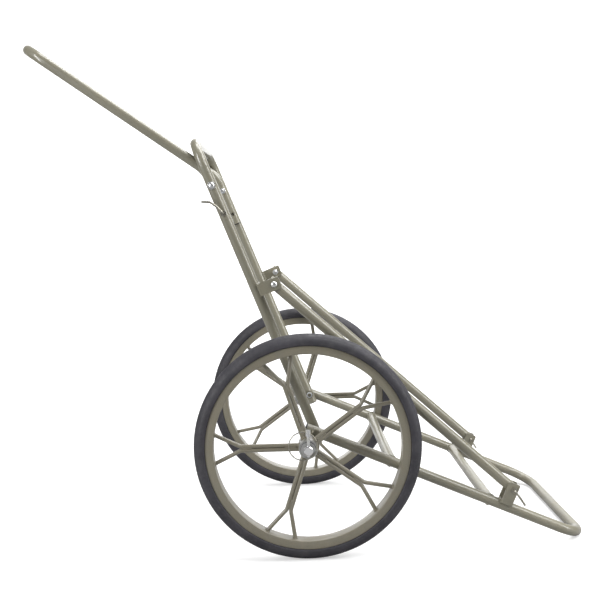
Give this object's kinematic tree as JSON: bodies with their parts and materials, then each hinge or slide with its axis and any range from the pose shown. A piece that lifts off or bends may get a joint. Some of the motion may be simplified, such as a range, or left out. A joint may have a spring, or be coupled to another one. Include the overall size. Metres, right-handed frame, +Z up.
{
  "type": "folding two-wheel haul cart",
  "caption": "Folding haul cart: sloping tube bed on large spoked wheels, upright loop, folding pull handle and pinned side braces that lift out so the frame folds down.",
  "frame": {"origin": "on the ground, straight below the middle of the wheel axis", "axes": "+X forward to the foot loop, +Y to the left, +Z up; the cart stands on its two wheels and its foot bar"},
  "size_m": [1.1768, 0.636, 1.084],
  "materials": {
    "frame_paint": "satin olive powder coat on steel tube",
    "wheel_paint": "satin olive powder coat on steel rim and rods",
    "tyre_rubber": "matt solid rubber",
    "zinc_steel": "bright zinc plate",
    "pin_steel": "dull zinc-plated wire",
    "bush_nylon": "moulded nylon"
  },
  "bodies": {
    "bed": {"bed_frame": "frame_paint", "bed_cross_tube_front": "frame_paint", "bed_cross_tube_rear": "frame_paint", "bed_tube_caps": "frame_paint", "axle_bracket_left": "frame_paint", "axle_bracket_right": "frame_paint", "brace_bracket_left": "frame_paint", "brace_bracket_right": "frame_paint", "stub_axle_left": "zinc_steel", "stub_axle_right": "zinc_steel", "axle_washers_inner": "zinc_steel", "axle_washers_outer": "zinc_steel", "frame_pivot_bolts": "pin_steel", "frame_pivot_nuts": "zinc_steel", "frame_pivot_washers": "zinc_steel"},
    "upright": {"upright_frame": "frame_paint", "upright_tube_caps": "frame_paint", "brace_hanger_left": "frame_paint", "brace_hanger_right": "frame_paint", "handle_pivot_bolts": "zinc_steel", "handle_pivot_nuts": "zinc_steel", "handle_pivot_washers": "zinc_steel", "brace_pivot_bolts": "zinc_steel", "brace_pivot_nuts": "zinc_steel"},
    "handle": {"handle_frame": "frame_paint", "handle_tube_caps": "frame_paint"},
    "wheel_right": {"tyre_right": "tyre_rubber", "rim_right": "wheel_paint", "spoke_rods_right": "wheel_paint", "hub_right": "zinc_steel", "hub_bushes_right": "bush_nylon"},
    "brace_right": {"brace_right": "frame_paint"},
    "brace_pin_right": {"brace_pin_right": "pin_steel"},
    "handle_lock_pin_right": {"handle_lock_pin_right": "pin_steel"},
    "linch_pin_right": {"linch_pin_right": "zinc_steel"},
    "linch_ring_right": {"linch_ring_right": "pin_steel"},
    "wheel_left": {"tyre_left": "tyre_rubber", "rim_left": "wheel_paint", "spoke_rods_left": "wheel_paint", "hub_left": "zinc_steel", "hub_bushes_left": "bush_nylon"},
    "brace_left": {"brace_left": "frame_paint"},
    "brace_pin_left": {"brace_pin_left": "pin_steel"},
    "handle_lock_pin_left": {"handle_lock_pin_left": "pin_steel"},
    "linch_pin_left": {"linch_pin_left": "zinc_steel"},
    "linch_ring_left": {"linch_ring_left": "pin_steel"}
  },
  "joints": [
    {"name": "frame_fold", "type": "hinge", "parent": "bed", "child": "upright", "pos_m": [0.01708, 0, 0.25551], "axis": [0, 1, 0], "range_deg": [0, 121]},
    {"name": "handle_fold", "type": "hinge", "parent": "upright", "child": "handle", "pos_m": [-0.18467, 0, 0.77565], "axis": [0, -1, 0], "range_deg": [0, 140]},
    {"name": "brace_swing_right", "type": "hinge", "parent": "upright", "child": "brace_right", "pos_m": [-0.06109, -0.23, 0.56905], "axis": [0, 1, 0], "range_deg": [-153, 0]},
    {"name": "wheel_spin_right", "type": "hinge", "parent": "bed", "child": "wheel_right", "pos_m": [0, -0.2775, 0.235], "axis": [0, 1, 0], "continuous": true},
    {"name": "brace_pin_pull_right", "type": "slide", "parent": "bed", "child": "brace_pin_right", "axis": [0, -1, 0], "range_m": [0, 0.045]},
    {"name": "handle_lock_pull_right", "type": "slide", "parent": "upright", "child": "handle_lock_pin_right", "axis": [0, -1, 0], "range_m": [0, 0.03]},
    {"name": "linch_pin_pull_right", "type": "slide", "parent": "bed", "child": "linch_pin_right", "axis": [0, 0, 1], "range_m": [0, 0.04]},
    {"name": "linch_ring_swing_right", "type": "hinge", "parent": "linch_pin_right", "child": "linch_ring_right", "pos_m": [0, -0.3094, 0.2709], "axis": [-0.9253, 0, 0.3793], "range_deg": [0, 150]},
    {"name": "brace_swing_left", "type": "hinge", "parent": "upright", "child": "brace_left", "pos_m": [-0.06109, 0.23, 0.56905], "axis": [0, 1, 0], "range_deg": [-153, 0]},
    {"name": "wheel_spin_left", "type": "hinge", "parent": "bed", "child": "wheel_left", "pos_m": [0, 0.2775, 0.235], "axis": [0, 1, 0], "continuous": true},
    {"name": "brace_pin_pull_left", "type": "slide", "parent": "bed", "child": "brace_pin_left", "axis": [0, 1, 0], "range_m": [0, 0.045]},
    {"name": "handle_lock_pull_left", "type": "slide", "parent": "upright", "child": "handle_lock_pin_left", "axis": [0, 1, 0], "range_m": [0, 0.03]},
    {"name": "linch_pin_pull_left", "type": "slide", "parent": "bed", "child": "linch_pin_left", "axis": [0, 0, 1], "range_m": [0, 0.04]},
    {"name": "linch_ring_swing_left", "type": "hinge", "parent": "linch_pin_left", "child": "linch_ring_left", "pos_m": [0, 0.3094, 0.2709], "axis": [0.9253, 0, -0.3793], "range_deg": [0, 150]}
  ],
  "couplings": [
    {"joint": "brace_swing_right", "follows": "frame_fold", "ratio": -1.26},
    {"joint": "linch_ring_swing_right", "follows": "linch_pin_pull_right", "rad_per_m": 65.4},
    {"joint": "brace_swing_left", "follows": "frame_fold", "ratio": -1.26},
    {"joint": "linch_ring_swing_left", "follows": "linch_pin_pull_left", "rad_per_m": 65.4}
  ]
}
